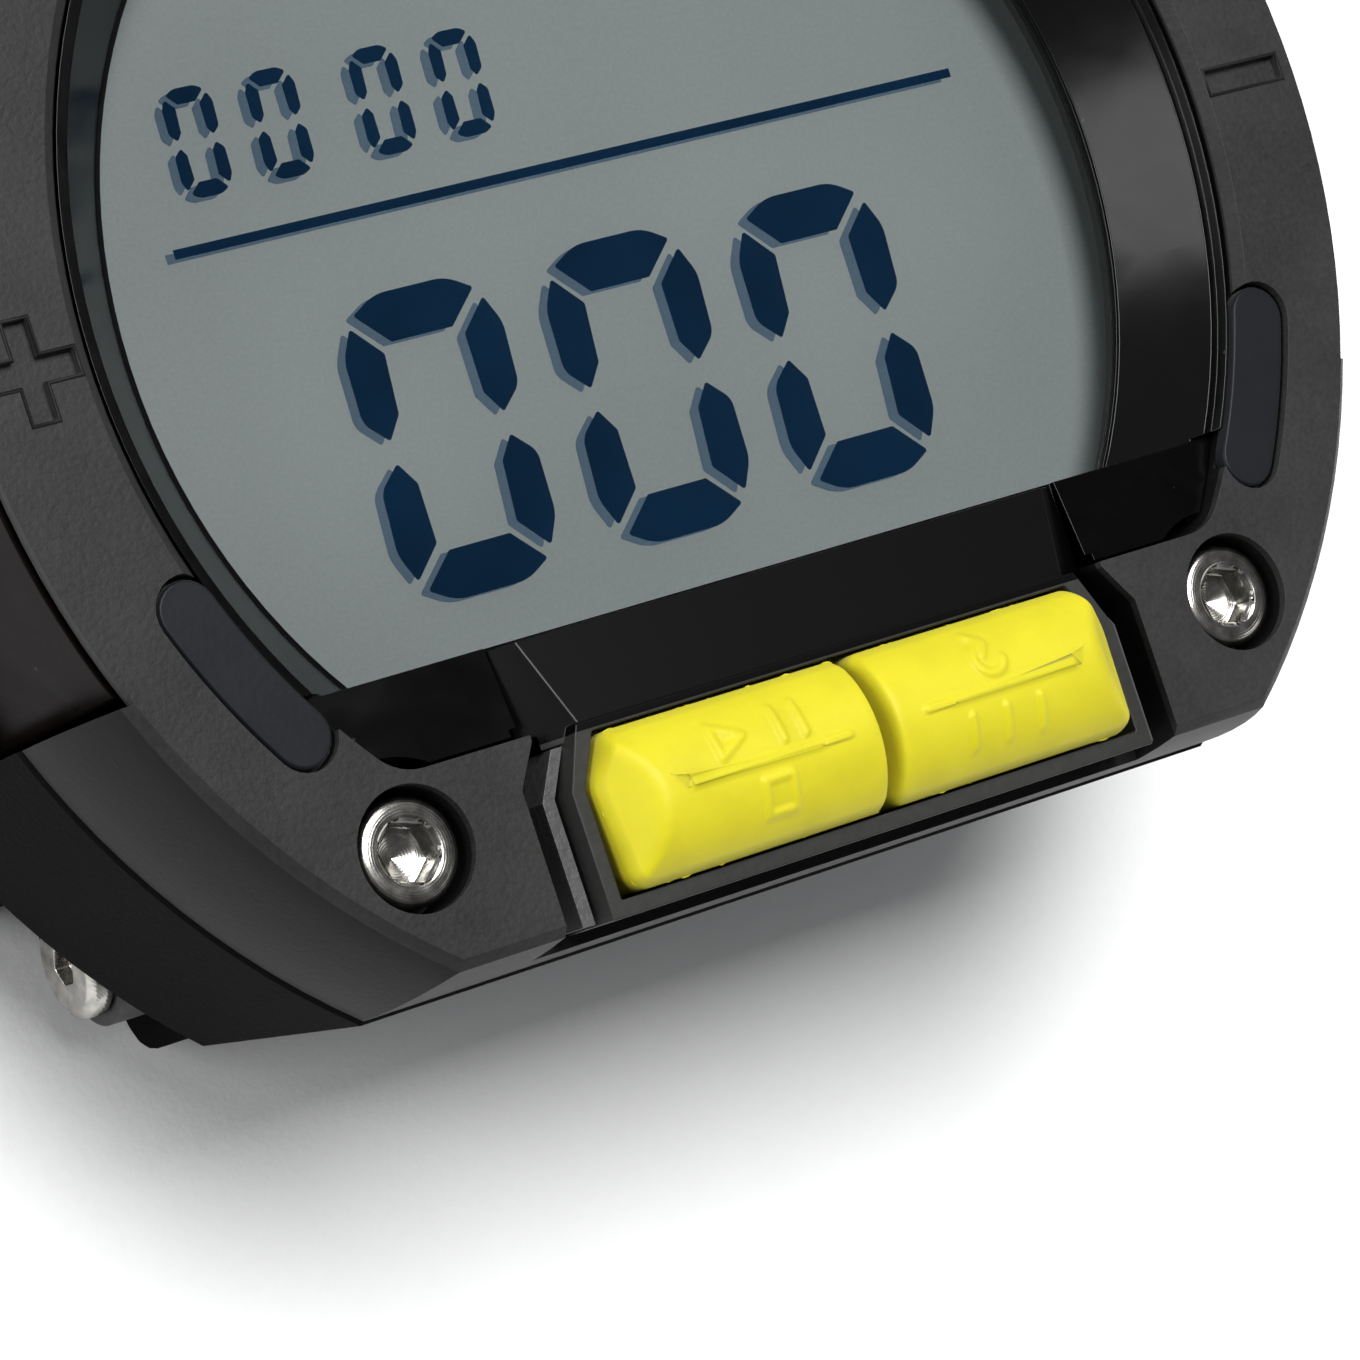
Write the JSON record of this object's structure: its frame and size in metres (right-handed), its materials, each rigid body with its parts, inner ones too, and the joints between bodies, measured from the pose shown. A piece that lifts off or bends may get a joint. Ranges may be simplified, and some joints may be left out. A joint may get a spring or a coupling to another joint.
{
  "type": "speed radar gun",
  "caption": "Pocket Doppler speed radar: round puck with a flat lower edge, deep round display, yellow front keys, side keys, battery door and fold-out tilt stand.",
  "frame": {"origin": "the point of the back face under the middle of the part's box, the unit lying on its back with its display upwards", "axes": "+Z out of the display face, +Y up the face (away from the front keys), +X to the reader's right"},
  "size_m": [0.0594, 0.0528, 0.025],
  "materials": {
    "bezel_plastic": "dark grey moulded plastic with a fine spark-eroded grain",
    "inlay_plastic": "smooth satin blue-black plastic insert",
    "stainless": "bright turned stainless steel",
    "surround_gloss": "gloss black moulded plastic",
    "lens_clear": "clear polished acrylic",
    "seal_foam": "matt black elastomer",
    "lcd_face": "grey-green reflective display with a fine sparkle grain",
    "reflector_film": "silvery diffusing film",
    "white_plastic": "natural white moulded plastic",
    "panel_plastic": "satin black moulded plastic",
    "frame_plastic": "mid grey satin plastic",
    "key_silicone": "yellow moulded silicone rubber with a low sheen",
    "circuit_board": "green solder mask over glass laminate",
    "brass_contacts": "machined and stamped brass",
    "side_key_plastic": "satin black moulded rubber-touch plastic",
    "switch_metal": "tinned sheet steel",
    "chip_epoxy": "moulded black epoxy",
    "radar_laminate": "pale microwave laminate",
    "shell_plastic": "dark grey moulded plastic with a fine grain",
    "cover_plastic": "black satin moulded plastic",
    "cell_steel": "nickel-plated steel can",
    "stand_plastic": "black glass-filled nylon"
  },
  "bodies": {
    "housing": {"front_bezel": "bezel_plastic", "inlay_left": "inlay_plastic", "inlay_right": "inlay_plastic", "bezel_screws": "stainless", "display_surround": "surround_gloss", "window_lens": "lens_clear", "lens_seal": "seal_foam", "lcd_glass": "lcd_face", "lcd_reflector": "reflector_film", "lcd_holder": "white_plastic", "zebra_strips": "seal_foam", "button_panel": "panel_plastic", "panel_frame": "frame_plastic", "key_board": "circuit_board", "key_domes": "brass_contacts", "key_board_screws": "stainless", "side_switches": "switch_metal", "main_board": "circuit_board", "board_chips": "chip_epoxy", "buzzer": "chip_epoxy", "board_screws": "stainless", "board_link": "chip_epoxy", "radar_board": "radar_laminate", "patch_antennas": "brass_contacts", "radar_can": "switch_metal", "radome": "panel_plastic", "rear_shell": "shell_plastic", "screw_inserts": "brass_contacts", "tripod_insert": "brass_contacts", "rear_cover": "cover_plastic", "cover_screws": "stainless", "battery": "cell_steel", "battery_plus": "brass_contacts", "battery_minus": "brass_contacts", "stand_screws": "stainless", "stand_washers": "white_plastic"},
    "start_key_body": {"start_key": "key_silicone"},
    "reset_key_body": {"reset_key": "key_silicone"},
    "plus_key_body": {"plus_key": "side_key_plastic"},
    "minus_key_body": {"minus_key": "side_key_plastic"},
    "door_body": {"battery_door": "cover_plastic", "door_seal": "seal_foam"},
    "stand_body": {"tilt_stand": "stand_plastic"}
  },
  "joints": [
    {"name": "start_press", "type": "slide", "parent": "housing", "child": "start_key_body", "axis": [0, 0, -1], "range_m": [0, 0.0006], "stiffness_N_per_m": 900},
    {"name": "reset_press", "type": "slide", "parent": "housing", "child": "reset_key_body", "axis": [0, 0, -1], "range_m": [0, 0.0006], "stiffness_N_per_m": 900},
    {"name": "plus_press", "type": "slide", "parent": "housing", "child": "plus_key_body", "axis": [1, 0, 0], "range_m": [0, 0.0005], "stiffness_N_per_m": 1200},
    {"name": "minus_press", "type": "slide", "parent": "housing", "child": "minus_key_body", "axis": [-1, 0, 0], "range_m": [0, 0.0005], "stiffness_N_per_m": 1200},
    {"name": "door_turn", "type": "hinge", "parent": "housing", "child": "door_body", "pos_m": [0, -0.00891, 0], "axis": [0, 0, -1], "range_deg": [0, 55]},
    {"name": "stand_fold", "type": "hinge", "parent": "housing", "child": "stand_body", "pos_m": [0, -0.02111, 0.004], "axis": [-1, 0, 0], "range_deg": [0, 110]}
  ]
}
